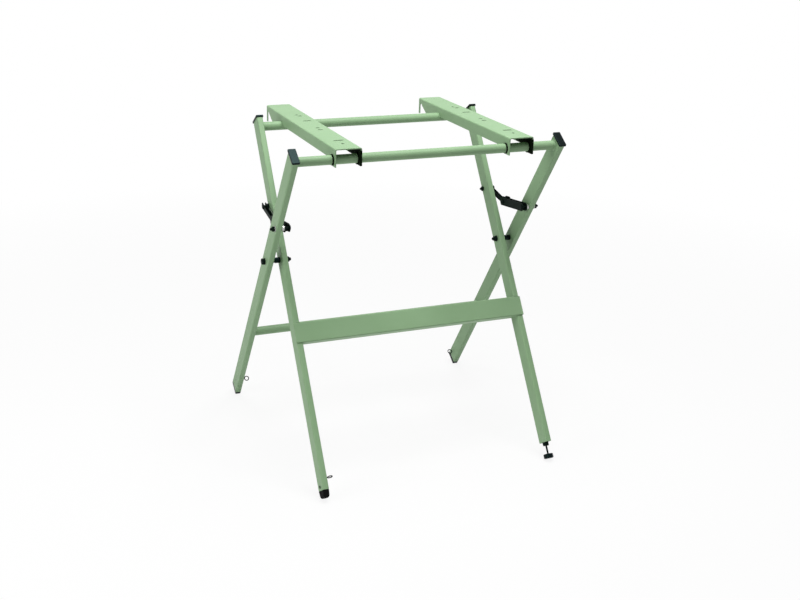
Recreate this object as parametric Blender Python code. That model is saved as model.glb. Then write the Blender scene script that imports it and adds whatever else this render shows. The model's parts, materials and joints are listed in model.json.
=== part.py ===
"""Folding miter saw stand.

Two crossed leg frames turn on one axis, two folding stays hold them open, two channel rails
carry the saw on the top tubes, and one leg ends in a levelling screw.
Metres, +Z up, floor at z = 0, +X to the right and the front of the stand towards -Y.
"""
import math

import bmesh
import bpy
from mathutils import Vector

# Height of the folding axis above the floor
PIVOT_HEIGHT = 0.4815

# Crossed leg frames
LEAN = math.radians(34.5)
INNER_SPACING = 0.585
FRAME_GAP = 0.0225
LEG_THICKNESS = 0.015
LEG_WIDTH = 0.040
LEG_WALL = 0.0015
LEG_CORNER = 0.003
LEG_ABOVE_PIVOT = 0.366

# Round cross tubes
TUBE_RADIUS = 0.011
TUBE_WALL = 0.0015
TOP_TUBE_FROM_PIVOT = 0.347
TOP_TUBE_OFFSET = 0.003
LOWER_TUBE_FROM_PIVOT = 0.299

# Front panel, a channel welded over the inner legs
PANEL_OVERHANG = 0.0015
PANEL_TOP_FROM_PIVOT = 0.163
PANEL_HEIGHT = 0.050
PANEL_DEPTH = 0.026
PANEL_SHEET = 0.002
PANEL_BEND = 0.003

# End caps and feet
CAP_THICKNESS = 0.0052
CAP_OVERHANG = 0.0017
CAP_CORNER = 0.0018
CAP_EDGE = 0.0010
CAP_PLUG_LENGTH = 0.012
FOOT_CAP_THICKNESS = 0.012
FOOT_CAP_EDGE = 0.005
FOOT_CAP_SIDE_EDGE = 0.0015
RUBBER_FOOT_LENGTH = 0.0185
RUBBER_FOOT_NARROWING = 0.003
RUBBER_FOOT_EDGE = 0.008
RUBBER_FOOT_SIDE_EDGE = 0.003
FOOT_PIN_RADIUS = 0.002
FOOT_PIN_HEAD_RADIUS = 0.0035
FOOT_PIN_HEAD_HEIGHT = 0.0012
FOOT_PIN_FROM_END = 0.008

# Levelling foot
LEVEL_KNOB_RADIUS = 0.012
LEVEL_KNOB_THICKNESS = 0.0115
LEVEL_KNOB_EDGE = 0.0015
LEVEL_KNOB_GRIPS = 12
LEVEL_KNOB_GRIP_DEPTH = 0.0008
LEVEL_SCREW_RADIUS = 0.0025
LEVEL_SCREW_SHOWN = 0.020
LEVEL_SCREW_HIDDEN = 0.018
LEVEL_NUT_FLATS = 0.0145
LEVEL_NUT_HEIGHT = 0.009
LEVEL_NUT_NECK_FLATS = 0.0116
LEVEL_NUT_BEVEL = 0.0011

# Tie eyes near the feet
EYE_RADIUS = 0.0058
EYE_WIRE_RADIUS = 0.0013
EYE_TILT = math.radians(15.0)
REAR_LEFT_EYE_FROM_END = 0.0609
REAR_LEFT_EYE_OFFSET = -0.0165
REAR_RIGHT_EYE_FROM_END = 0.0149
REAR_RIGHT_EYE_OFFSET = 0.0085
FRONT_EYE_FROM_END = 0.0264
FRONT_EYE_OFFSET = -0.0155

# Pivot hardware
PIVOT_BOLT_RADIUS = 0.004
PIVOT_HEAD_FLATS = 0.0135
PIVOT_HEAD_HEIGHT = 0.0065
PIVOT_NUT_FLATS = 0.012
PIVOT_NUT_HEIGHT = 0.0060
PIVOT_SLEEVE_RADIUS = 0.0055
PIVOT_COLLAR_RADIUS = 0.0070
PIVOT_COLLAR_LENGTH = 0.0130
PIVOT_WASHER_RADIUS = 0.0078
PIVOT_THREAD_SHOWN = 0.0045
WASHER_THICKNESS = 0.0015

# Folding stays, in the gap between the frames
STAY_FRONT_FROM_PIVOT = 0.138
STAY_REAR_FROM_PIVOT = 0.143
STAY_BELOW_LEG_MIDDLE = 0.0125
STAY_KNUCKLE_FROM_FRONT = 0.100
STAY_KNUCKLE_DROP = 0.014
STAY_SHEET = 0.0013
STAY_TO_INNER_LEG = 0.0034
STAY_TO_OUTER_LEG = 0.0066
STAY_SIDE_CLEARANCE = 0.0004
STAY_FRONT_DEPTH = 0.0205
STAY_EAR_RADIUS = 0.0140
STAY_EAR_LENGTH = 0.020
STAY_EAR_SLOPE = 0.004
STAY_FRONT_WEB_INSET = 0.012
STAY_REAR_NARROW = 0.0095
STAY_REAR_WIDE = 0.0170
STAY_REAR_SAG = 0.0020
STAY_REAR_KNUCKLE_RADIUS = 0.0065
STAY_REAR_TAIL = 0.013
STAY_REAR_TAIL_TOP = 0.0055
STAY_REAR_WEB_INSET = 0.016
STAY_BOLT_RADIUS = 0.003
STAY_HEAD_FLATS = 0.0115
STAY_THIN_HEAD_HEIGHT = 0.0021
STAY_NUT_HEIGHT = 0.0060
STAY_WASHER_RADIUS = 0.0070
STAY_SPACER_RADIUS = 0.0065
STAY_THREAD_SHOWN = 0.0045
STAY_ANCHOR_NUT_HEIGHT = 0.0040
STAY_ANCHOR_THREAD_SHOWN = 0.0045
RIVET_HEAD_RADIUS = 0.006
RIVET_HEAD_HEIGHT = 0.0018

# Shares of their own size that heads, nuts, tips and rivets keep at their ends
HEX_FACE_SHARE = 0.88
HEX_BEVEL_SHARE = 0.15
TIP_SHARE = 0.75
TIP_LENGTH_SHARE = 0.5
RIVET_FACE_SHARE = 0.7

# Top rails
RAIL_WIDTH = 0.063
RAIL_SHEET = 0.0025
RAIL_BEND = 0.0035
RAIL_TOP_ABOVE_TUBE = 0.0275
RAIL_FRONT_OVERHANG = 0.019
RAIL_REAR_OVERHANG = 0.130
RAIL_DEPTH = 0.0265
RAIL_TAB_DEPTH = 0.0415
RAIL_FRONT_TAB_LENGTH = 0.037
RAIL_TAB_SLOPE = 0.012
RAIL_FINGER_LENGTH = 0.006
RAIL_REAR_TAB_DEPTH = 0.034
RAIL_REAR_TAB_START = 0.050
RAIL_REAR_TAB_END = 0.082
RAIL_HOOK_TOP_BELOW_RAIL = 0.0135
RAIL_HOOK_TOP_LENGTH = 0.016
LEFT_RAIL_EDGE = -0.2360
RIGHT_RAIL_EDGE = 0.1945
SLOT_WIDTH = 0.007
HOLE_WIDTH = 0.008

# Openings in a rail's top: distance from its front end, offset from its middle, length across it
RAIL_OPENINGS = (
    (0.052, 0.0045, HOLE_WIDTH),
    (0.086, 0.0065, 0.025),
    (0.208, 0.0040, 0.013),
    (0.2305, 0.0050, 0.011),
    (0.317, 0.0065, 0.022),
    (0.379, 0.0085, 0.012),
    (0.393, 0.0035, HOLE_WIDTH),
)

# Sliding bushes and guide plates in the rails
BUSH_RUNNING_CLEARANCE = 0.0003
BUSH_WALL = 0.0011
BUSH_COLLAR = 0.0018
BUSH_COLLAR_THICKNESS = 0.0015
BUSH_PROUD = 0.0035
GUIDE_THICKNESS = 0.0022
GUIDE_LENGTH = 0.080
GUIDE_MARGIN = 0.0015
GUIDE_LIP = 0.0015

# Fits
GAP = 0.0003
HOLE_CLEARANCE = 0.0003

# Facets
ROUND_FACETS = 32
SMALL_FACETS = 18
EYE_FACETS = 16
WIRE_FACETS = 6
CORNER_STEPS = 3
END_STEPS = 8
SMOOTH_ANGLE = math.radians(32.0)
CUT_MARGIN = 0.010

# Colour, roughness and metal share of each finish
SAGE_PAINT = ((0.30, 0.42, 0.30), 0.45, 0.0)
BLACK_PLASTIC = ((0.012, 0.012, 0.013), 0.5, 0.0)
BLACK_RUBBER = ((0.010, 0.010, 0.010), 0.75, 0.0)
BLACK_STEEL = ((0.02, 0.03, 0.03), 0.35, 0.5)
ZINC_STEEL = ((0.55, 0.56, 0.56), 0.35, 1.0)


def clear_scene():
    for scene_object in list(bpy.data.objects):
        bpy.data.objects.remove(scene_object, do_unlink=True)


def make_finish(name, colour, roughness, metallic):
    material = bpy.data.materials.new(name)
    material.use_nodes = True
    shader = material.node_tree.nodes["Principled BSDF"]
    shader.inputs["Base Color"].default_value = (*colour, 1.0)
    shader.inputs["Roughness"].default_value = roughness
    shader.inputs["Metallic"].default_value = metallic
    material.diffuse_color = (*colour, 1.0)
    return material


def add_object(name, mesh, parent, finish):
    mesh.shade_smooth()
    mesh.set_sharp_from_angle(angle=SMOOTH_ANGLE)
    solid = bpy.data.objects.new(name, mesh)
    bpy.context.scene.collection.objects.link(solid)
    solid.parent = parent
    if finish is not None:
        mesh.materials.append(make_finish(name + "_finish", *finish))
    return solid


def add_axis(name, parent, location, turn_x=0.0):
    """An empty that stands on a joint's axis and carries what turns or slides there."""
    axis = bpy.data.objects.new(name, None)
    axis.empty_display_size = 0.03
    bpy.context.scene.collection.objects.link(axis)
    axis.parent = parent
    axis.location = location
    axis.rotation_euler = (turn_x, 0.0, 0.0)
    return axis


def add_cutter(name, mesh, target, solver="EXACT"):
    """Take a shape out of the target, in the target's own coordinates."""
    cutter = add_object(name, mesh, target.parent, None)
    cutter.location = target.location
    cutter.rotation_euler = target.rotation_euler
    cutter.hide_render = True
    cutter.display_type = "WIRE"
    cut = target.modifiers.new(name, "BOOLEAN")
    cut.operation = "DIFFERENCE"
    cut.solver = solver
    cut.object = cutter


def mesh_from(build):
    work = bmesh.new()
    build(work)
    bmesh.ops.recalc_face_normals(work, faces=work.faces)
    mesh = bpy.data.meshes.new("shape")
    work.to_mesh(mesh)
    work.free()
    return mesh


def add_loft(work, sections, ring=False):
    """Skin a row of sections that have as many points each, closed at its ends or into a ring."""
    loops = [[work.verts.new(point) for point in section] for section in sections]
    pairs = list(zip(loops, loops[1:]))
    if ring:
        pairs.append((loops[-1], loops[0]))
    for lower, upper in pairs:
        count = len(lower)
        for index in range(count):
            following = (index + 1) % count
            work.faces.new((lower[index], lower[following], upper[following], upper[index]))
    if not ring:
        work.faces.new(loops[0])
        work.faces.new(loops[-1])


def loft(sections, ring=False):
    return mesh_from(lambda work: add_loft(work, sections, ring))


def rounded_rectangle(width, depth, radius, steps=CORNER_STEPS):
    """Outline in X and Y, with round corners."""
    outline = []
    for quarter, (side_x, side_y) in enumerate(((1, 1), (-1, 1), (-1, -1), (1, -1))):
        centre_x = side_x * (width / 2 - radius)
        centre_y = side_y * (depth / 2 - radius)
        for step in range(steps + 1):
            angle = math.pi / 2 * (quarter + step / steps)
            point = (centre_x + radius * math.cos(angle), centre_y + radius * math.sin(angle))
            outline.append(point)
    return outline


def circle(radius, facets=SMALL_FACETS):
    turns = [2 * math.pi * index / facets for index in range(facets)]
    return [(radius * math.cos(turn), radius * math.sin(turn)) for turn in turns]


def hexagon(flats, facets=SMALL_FACETS):
    """Six-sided outline with as many points as a circle, so that both can be skinned together."""
    outline = []
    for index in range(facets):
        turn = 2 * math.pi * index / facets
        from_flat = turn % (math.pi / 3) - math.pi / 6
        reach = flats / 2 / math.cos(from_flat)
        outline.append((reach * math.cos(turn), reach * math.sin(turn)))
    return outline


def scaled(outline, factor):
    return [(x * factor, y * factor) for x, y in outline]


def at_height(outline, height):
    """Lay an outline across the local Z axis."""
    return [(x, y, height) for x, y in outline]


def at_x(outline, place):
    """Lay an outline across the X axis: the outline's two values become Y and Z."""
    return [(place, y, z) for y, z in outline]


def prism_along_x(outline, low, high):
    return loft([at_x(outline, low), at_x(outline, high)])


def turned_x(profile):
    """Turned solid about the X axis from (x, radius or outline) pairs, ends closed."""
    sections = []
    for place, shape in profile:
        outline = circle(shape) if isinstance(shape, float) else shape
        sections.append(at_x(outline, place))
    return loft(sections)


def bored_x(low, high, outer, inner_radius):
    """Ring about the X axis: washer, spacer or nut."""
    outline = circle(outer) if isinstance(outer, float) else outer
    bore = circle(inner_radius)
    sections = [at_x(outline, low), at_x(outline, high), at_x(bore, high), at_x(bore, low)]
    return loft(sections, ring=True)


def cylinder_cutter_x(name, target, centre, radius, low, high):
    """Drill along X through the target at (y, z)."""
    outline = [(centre[0] + y, centre[1] + z) for y, z in circle(radius)]
    add_cutter(name, prism_along_x(outline, low, high), target)


def plan_reach(tip, half_width, edge_radius):
    """How far in plan, from the pivot, a foot with rounded edges stands out."""
    along = math.sin(LEAN) * (tip - edge_radius)
    across = math.cos(LEAN) * (half_width - edge_radius)
    return along + across + edge_radius


def floor_reach(corner_offset, edge_radius):
    """Distance along a leg, from the pivot, to the tip whose rounded corner just meets the floor."""
    corner_drop = math.sin(LEAN) * (corner_offset - edge_radius)
    return edge_radius + (PIVOT_HEIGHT - edge_radius - corner_drop) / math.cos(LEAN)


def leg_point(distance, lean, offset=0.0):
    """Y and Z, from the pivot, of a point up a leg that leans towards -Y; offset is towards +Y."""
    along = Vector((-math.sin(lean), math.cos(lean)))
    across = Vector((math.cos(lean), math.sin(lean)))
    return along * distance + across * offset


def stay_points():
    """Front end, knuckle and rear end of a stay, which sags a little at its knuckle."""
    front = leg_point(STAY_FRONT_FROM_PIVOT, LEAN, -STAY_BELOW_LEG_MIDDLE)
    rear = leg_point(STAY_REAR_FROM_PIVOT, -LEAN, STAY_BELOW_LEG_MIDDLE)
    along = (rear - front).normalized()
    down = Vector((along.y, -along.x))
    return front, front + along * STAY_KNUCKLE_FROM_FRONT + down * STAY_KNUCKLE_DROP, rear


OUTER_SPACING = INNER_SPACING + 2 * (LEG_THICKNESS + FRAME_GAP)
OUTER_FACE = OUTER_SPACING / 2 + LEG_THICKNESS / 2
OUTER_INSIDE = OUTER_SPACING / 2 - LEG_THICKNESS / 2
INNER_FACE = INNER_SPACING / 2 + LEG_THICKNESS / 2
INNER_INSIDE = INNER_SPACING / 2 - LEG_THICKNESS / 2
REAR_FOOT_TIP = floor_reach(LEG_WIDTH / 2, FOOT_CAP_EDGE)
OUTER_LEG_END = REAR_FOOT_TIP - FOOT_CAP_THICKNESS
RUBBER_FOOT_TIP = floor_reach(LEG_WIDTH / 2 - RUBBER_FOOT_NARROWING, RUBBER_FOOT_EDGE)
INNER_LEG_END = RUBBER_FOOT_TIP - RUBBER_FOOT_LENGTH
LEVEL_KNOB_TIP = floor_reach(LEVEL_KNOB_RADIUS, LEVEL_KNOB_EDGE)
LEVEL_LEG_END = LEVEL_KNOB_TIP - LEVEL_KNOB_THICKNESS - LEVEL_SCREW_SHOWN - LEVEL_NUT_HEIGHT
BUSH_RADIUS = TUBE_RADIUS + BUSH_RUNNING_CLEARANCE + BUSH_WALL
STAY_FRONT_END, STAY_KNUCKLE, STAY_REAR_END = stay_points()
FRONT_ARM_LENGTH = (STAY_KNUCKLE - STAY_FRONT_END).length
REAR_ARM_LENGTH = (STAY_REAR_END - STAY_KNUCKLE).length
STAY_WIDTH = FRAME_GAP - STAY_TO_INNER_LEG - STAY_TO_OUTER_LEG
STAY_CENTRE = INNER_FACE + STAY_TO_INNER_LEG + STAY_WIDTH / 2
REAR_ARM_WIDTH = STAY_WIDTH - 2 * STAY_SHEET - 2 * STAY_SIDE_CLEARANCE


def add_leg(name, axis, centre_x, top, bottom, holes):
    """Rectangular tube along the frame's local Z, drilled through its sides."""
    bore_width = LEG_THICKNESS - 2 * LEG_WALL
    bore_depth = LEG_WIDTH - 2 * LEG_WALL
    outer = rounded_rectangle(LEG_THICKNESS, LEG_WIDTH, LEG_CORNER)
    inner = rounded_rectangle(bore_width, bore_depth, LEG_CORNER - LEG_WALL)
    sections = [at_height(outer, -bottom), at_height(outer, top)]
    sections += [at_height(inner, top), at_height(inner, -bottom)]
    leg = add_object(name, loft(sections, ring=True), axis, SAGE_PAINT)
    leg.location.x = centre_x
    for index, (offset, height, radius) in enumerate(holes):
        cylinder_cutter_x(f"{name}_hole_{index}", leg, (offset, height), radius,
                          -LEG_THICKNESS, LEG_THICKNESS)
    return leg


def add_cross_tube(name, axis, half_length, height, offset):
    outer = circle(TUBE_RADIUS, ROUND_FACETS)
    inner = circle(TUBE_RADIUS - TUBE_WALL, ROUND_FACETS)
    sections = [at_x(outer, -half_length), at_x(outer, half_length)]
    sections += [at_x(inner, half_length), at_x(inner, -half_length)]
    tube = add_object(name, loft(sections, ring=True), axis, SAGE_PAINT)
    tube.location = (0.0, offset, height)
    return tube


def plug_outline():
    """Outline that fits inside a leg's tube."""
    shrink = 2 * LEG_WALL + 2 * GAP
    return rounded_rectangle(LEG_THICKNESS - shrink, LEG_WIDTH - shrink, LEG_CORNER - LEG_WALL)


def cap_sections(thickness, edge, side_edge, overhang, corner, direction):
    """Plug inside the tube and a head over its end; direction is +1 for a top cap, -1 for a foot."""
    plug = plug_outline()
    head_thickness = LEG_THICKNESS + 2 * overhang
    head_width = LEG_WIDTH + 2 * overhang
    head = rounded_rectangle(head_thickness, head_width, corner)
    sections = [at_height(plug, -direction * CAP_PLUG_LENGTH), at_height(plug, direction * GAP)]
    sections.append(at_height(head, direction * GAP))
    for step in range(CORNER_STEPS + 1):
        angle = math.pi / 2 * step / CORNER_STEPS
        inset = edge * (1 - math.cos(angle))
        side_inset = side_edge * (1 - math.cos(angle))
        height = thickness - edge + edge * math.sin(angle)
        radius = max(corner - inset, LEG_CORNER / CORNER_STEPS)
        outline = rounded_rectangle(head_thickness - 2 * side_inset, head_width - 2 * inset, radius)
        sections.append(at_height(outline, direction * height))
    return sections


def add_cap(name, axis, centre_x, place, thickness, rim, direction):
    cap = add_object(name, loft(cap_sections(thickness, *rim, direction)), axis, BLACK_PLASTIC)
    cap.location = (centre_x, 0.0, place)


def add_rubber_foot(axis, centre_x):
    """Thick rubber boot plugged into the front left leg, narrowing to a rounded sole."""
    plug = plug_outline()
    sections = [at_height(plug, CAP_PLUG_LENGTH), at_height(plug, -GAP)]
    straight = RUBBER_FOOT_LENGTH - RUBBER_FOOT_EDGE
    sections.append(at_height(rounded_rectangle(LEG_THICKNESS, LEG_WIDTH, LEG_CORNER), -GAP))
    foot_width = LEG_WIDTH - 2 * RUBBER_FOOT_NARROWING
    steps = 2 * CORNER_STEPS
    for step in range(steps + 1):
        angle = math.pi / 2 * step / steps
        inset = RUBBER_FOOT_EDGE * (1 - math.cos(angle))
        side_inset = RUBBER_FOOT_SIDE_EDGE * (1 - math.cos(angle))
        height = straight + RUBBER_FOOT_EDGE * math.sin(angle)
        outline = rounded_rectangle(LEG_THICKNESS - 2 * side_inset, foot_width - 2 * inset, LEG_CORNER)
        sections.append(at_height(outline, -height))
    foot = add_object("front_rubber_foot", loft(sections), axis, BLACK_RUBBER)
    foot.location = (centre_x, 0.0, -INNER_LEG_END)
    cylinder_cutter_x("rubber_foot_pin_hole", foot, (0.0, FOOT_PIN_FROM_END), FOOT_PIN_RADIUS + GAP,
                      -LEG_THICKNESS, LEG_THICKNESS)


def rivet_profile(half, shank_radius, head_radius, head_height):
    """Rivet about the X axis with a domed head at each end of a shank that reaches half each way."""
    profile = [(half, shank_radius), (half, head_radius), (half + head_height / 2, head_radius),
               (half + head_height, head_radius * RIVET_FACE_SHARE)]
    return [(-place, radius) for place, radius in reversed(profile)] + profile


def add_foot_pin(axis, centre_x):
    profile = rivet_profile(LEG_THICKNESS / 2 + GAP, FOOT_PIN_RADIUS, FOOT_PIN_HEAD_RADIUS,
                            FOOT_PIN_HEAD_HEIGHT)
    pin = add_object("rubber_foot_rivet", turned_x(profile), axis, BLACK_STEEL)
    pin.location = (centre_x, 0.0, -INNER_LEG_END + FOOT_PIN_FROM_END)


def add_tie_eye(name, axis, face_x, inward, distance, offset, tilt):
    """Wire ring that stands out from the leg's inner face."""
    reach = EYE_RADIUS + EYE_WIRE_RADIUS + GAP
    sections = []
    for index in range(EYE_FACETS):
        turn = 2 * math.pi * index / EYE_FACETS
        outward = Vector((math.cos(turn), math.sin(turn), 0.0))
        section = []
        for corner in range(WIRE_FACETS):
            angle = 2 * math.pi * corner / WIRE_FACETS
            point = outward * (EYE_RADIUS + EYE_WIRE_RADIUS * math.cos(angle))
            section.append((point.x, point.y, EYE_WIRE_RADIUS * math.sin(angle)))
        sections.append(section)
    eye = add_object(name, loft(sections, ring=True), axis, BLACK_STEEL)
    eye.location = (face_x + inward * reach, offset, -distance)
    eye.rotation_euler.x = tilt


def add_levelling_nut(axis, centre_x):
    """Threaded end nut: a round plug in the short leg, a neck and a hexagon below the leg's end."""
    plug = circle(LEG_THICKNESS / 2 - LEG_WALL - GAP)
    neck = hexagon(LEVEL_NUT_NECK_FLATS)
    flats = hexagon(LEVEL_NUT_FLATS)
    foot = hexagon(LEVEL_NUT_FLATS - LEVEL_NUT_BEVEL)
    sections = [at_height(plug, CAP_PLUG_LENGTH), at_height(plug, 0.0), at_height(neck, 0.0)]
    sections += [at_height(neck, -GAP), at_height(flats, -GAP)]
    sections += [at_height(flats, LEVEL_NUT_BEVEL - LEVEL_NUT_HEIGHT), at_height(foot, -LEVEL_NUT_HEIGHT)]
    nut = add_object("levelling_end_nut", loft(sections), axis, BLACK_STEEL)
    nut.location = (centre_x, 0.0, -LEVEL_LEG_END)
    bore = circle(LEVEL_SCREW_RADIUS + HOLE_CLEARANCE)
    cutter = loft([at_height(bore, -LEG_WIDTH), at_height(bore, LEG_WIDTH)])
    add_cutter("levelling_end_nut_bore", cutter, nut)


def knob_rim():
    """Outline of the knob with its finger grips."""
    rim = []
    count = 4 * LEVEL_KNOB_GRIPS
    for index in range(count):
        turn = 2 * math.pi * index / count
        dip = (1 - math.cos(turn * LEVEL_KNOB_GRIPS)) / 2
        reach = LEVEL_KNOB_RADIUS - LEVEL_KNOB_GRIP_DEPTH * dip
        rim.append((reach * math.cos(turn), reach * math.sin(turn)))
    return rim


def add_levelling_foot(axis, centre_x):
    """Screw in the end nut and the knob that stands on the floor."""
    knob_top = -(LEVEL_KNOB_TIP - LEVEL_KNOB_THICKNESS)
    screw_top = LEVEL_SCREW_SHOWN + LEVEL_NUT_HEIGHT + LEVEL_SCREW_HIDDEN
    screw_foot = -LEVEL_KNOB_THICKNESS / 2
    outline = circle(LEVEL_SCREW_RADIUS)
    shank_top = screw_top - LEVEL_SCREW_RADIUS * TIP_LENGTH_SHARE
    screw_sections = [at_height(outline, screw_foot), at_height(outline, shank_top)]
    screw_sections.append(at_height(scaled(outline, TIP_SHARE), screw_top))
    screw = add_object("levelling_screw", loft(screw_sections), axis, BLACK_STEEL)
    screw.location = (centre_x, 0.0, knob_top)

    rim = knob_rim()
    shoulder = scaled(rim, (LEVEL_KNOB_RADIUS - LEVEL_KNOB_EDGE) / LEVEL_KNOB_RADIUS)
    low = -LEVEL_KNOB_THICKNESS
    knob_sections = [at_height(shoulder, low), at_height(rim, low + LEVEL_KNOB_EDGE),
                     at_height(rim, -LEVEL_KNOB_EDGE), at_height(shoulder, 0.0)]
    knob = add_object("levelling_knob", loft(knob_sections), axis, BLACK_PLASTIC)
    knob.location = (centre_x, 0.0, knob_top)
    bore = circle(LEVEL_SCREW_RADIUS + HOLE_CLEARANCE)
    cutter = loft([at_height(bore, screw_foot - GAP), at_height(bore, CUT_MARGIN)])
    add_cutter("levelling_knob_bore", cutter, knob)


def arc_points(centre, radius, start, end, steps):
    points = []
    for step in range(steps + 1):
        angle = math.radians(start + (end - start) * step / steps)
        points.append((centre[0] + radius * math.cos(angle), centre[1] + radius * math.sin(angle)))
    return points


def add_panel(axis):
    """Channel across the front of the inner legs, its flanges turned in between the legs."""
    front = -(LEG_WIDTH / 2 + GAP + PANEL_SHEET)
    back = front + PANEL_DEPTH
    top = -PANEL_TOP_FROM_PIVOT
    bottom = top - PANEL_HEIGHT
    sheet = PANEL_SHEET
    outer = [(back, bottom)] + corner_arc(front, bottom, PANEL_BEND, 1)
    outer += corner_arc(front, top, PANEL_BEND, -1) + [(back, top)]
    inner_bend = PANEL_BEND - sheet / 2
    inner = [(back, top - sheet)] + corner_arc(front + sheet, top - sheet, inner_bend, -1)[::-1]
    inner += corner_arc(front + sheet, bottom + sheet, inner_bend, 1)[::-1]
    inner.append((back, bottom + sheet))
    half = INNER_FACE + PANEL_OVERHANG
    panel = add_object("front_panel", prism_along_x(outer + inner, -half, half), axis, SAGE_PAINT)
    behind = front + sheet + GAP / 3
    relief = [(behind, bottom - CUT_MARGIN), (behind, top + CUT_MARGIN),
              (back + CUT_MARGIN, top + CUT_MARGIN), (back + CUT_MARGIN, bottom - CUT_MARGIN)]
    for name, side in (("left", -1), ("right", 1)):
        ends = sorted((side * (INNER_INSIDE - GAP), side * (half + CUT_MARGIN)))
        add_cutter(f"panel_{name}_relief", prism_along_x(relief, *ends), panel)


def corner_arc(corner_y, corner_z, radius, vertical):
    """Quarter round at a corner that looks to -Y, low (vertical +1) or high (vertical -1)."""
    start = 270.0 if vertical > 0 else 180.0
    centre = (corner_y + radius, corner_z + vertical * radius)
    return arc_points(centre, radius, start, start - 90.0, CORNER_STEPS)


def add_bolt(name, axis, place, head_x, tip_x, radius, flats, head_height):
    """Hexagon bolt along X: its head starts at head_x and its tip lies at tip_x."""
    way = 1.0 if tip_x > head_x else -1.0
    head = hexagon(flats)
    bevel = head_height * HEX_BEVEL_SHARE
    profile = [(head_x - way * head_height, scaled(head, HEX_FACE_SHARE)),
               (head_x - way * (head_height - bevel), head), (head_x, head), (head_x, radius),
               (tip_x - way * radius * TIP_LENGTH_SHARE, radius), (tip_x, radius * TIP_SHARE)]
    bolt = add_object(name, turned_x(profile), axis, BLACK_STEEL)
    bolt.location = (0.0, place[0], place[1])


def add_nut(name, axis, place, ends, flats, bore):
    """Hexagon nut between two places on X."""
    low, high = sorted(ends)
    bevel = (high - low) * HEX_BEVEL_SHARE
    hexa = hexagon(flats)
    face = scaled(hexa, HEX_FACE_SHARE)
    sections = [at_x(face, low), at_x(hexa, low + bevel), at_x(hexa, high - bevel), at_x(face, high),
                at_x(circle(bore), high), at_x(circle(bore), low)]
    nut = add_object(name, loft(sections, ring=True), axis, BLACK_STEEL)
    nut.location = (0.0, place[0], place[1])


def add_ring(name, axis, place, ends, radius, bore, finish):
    """Washer or spacer between two places on X."""
    low, high = sorted(ends)
    ring = add_object(name, bored_x(low, high, radius, bore), axis, finish)
    ring.location = (0.0, place[0], place[1])


def add_pivot(name, axis, side):
    """Pivot bolt with its head outside the frames, and the stepped sleeve between the legs."""
    bore = PIVOT_BOLT_RADIUS + HOLE_CLEARANCE
    outside = OUTER_FACE + GAP
    inside = INNER_INSIDE - GAP
    head_x = outside + WASHER_THICKNESS + GAP
    nut_from = inside - WASHER_THICKNESS - GAP
    nut_to = nut_from - PIVOT_NUT_HEIGHT
    tip = nut_to - PIVOT_THREAD_SHOWN
    centre = (0.0, 0.0)
    add_bolt(f"pivot_bolt_{name}", axis, centre, side * head_x, side * tip,
             PIVOT_BOLT_RADIUS, PIVOT_HEAD_FLATS, PIVOT_HEAD_HEIGHT)
    add_nut(f"pivot_nut_{name}", axis, centre, (side * nut_from, side * nut_to), PIVOT_NUT_FLATS, bore)
    for label, face, reach in (("head", outside, WASHER_THICKNESS), ("nut", inside, -WASHER_THICKNESS)):
        add_ring(f"pivot_{label}_washer_{name}", axis, centre, (side * face, side * (face + reach)),
                 PIVOT_WASHER_RADIUS, bore, BLACK_STEEL)
    low, high = sorted((side * (INNER_FACE + GAP), side * (OUTER_INSIDE - GAP)))
    step = high - PIVOT_COLLAR_LENGTH
    sleeve = [at_x(circle(PIVOT_SLEEVE_RADIUS), low), at_x(circle(PIVOT_SLEEVE_RADIUS), step),
              at_x(circle(PIVOT_COLLAR_RADIUS), step), at_x(circle(PIVOT_COLLAR_RADIUS), high),
              at_x(circle(bore), high), at_x(circle(bore), low)]
    add_object(f"pivot_spacer_{name}", loft(sleeve, ring=True), axis, BLACK_PLASTIC)


def add_stay_arm(name, axis, side, length, width, outline, web_floor, web_span):
    """Channel open at its top: an outline pressed from sheet, with a web left along its bottom."""
    middle = side * STAY_CENTRE
    body = prism_along_x(outline, middle - width / 2, middle + width / 2)
    arm = add_object(name, body, axis, BLACK_STEEL)
    inside = width / 2 - STAY_SHEET
    low = -length
    high = 2 * length
    web_start, web_end = web_span
    floor_start, floor_end = web_floor
    hollow = [(low, low), (web_start, low), (web_start, floor_start + STAY_SHEET),
              (web_end, floor_end + STAY_SHEET), (web_end, low), (high, low), (high, high), (low, high)]
    add_cutter(f"{name}_hollow", prism_along_x(hollow, middle - inside, middle + inside), arm)
    for label, place in (("near", 0.0), ("far", length)):
        cylinder_cutter_x(f"{name}_{label}_hole", arm, (place, 0.0), STAY_BOLT_RADIUS + HOLE_CLEARANCE,
                          middle - width, middle + width)


def front_arm_outline():
    """Side of the front arm: round at the leg bolt at 0, with taller round ears at the knuckle."""
    half = STAY_FRONT_DEPTH / 2
    end = FRONT_ARM_LENGTH
    ear = STAY_EAR_RADIUS
    outline = arc_points((0.0, 0.0), half, 90.0, 270.0, END_STEPS)
    below = math.degrees(math.asin(half / ear))
    outline += arc_points((end, 0.0), ear, -below, 90.0, END_STEPS)
    ear_start = end - STAY_EAR_LENGTH
    return outline + [(ear_start + STAY_EAR_SLOPE, ear), (ear_start, half)]


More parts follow.
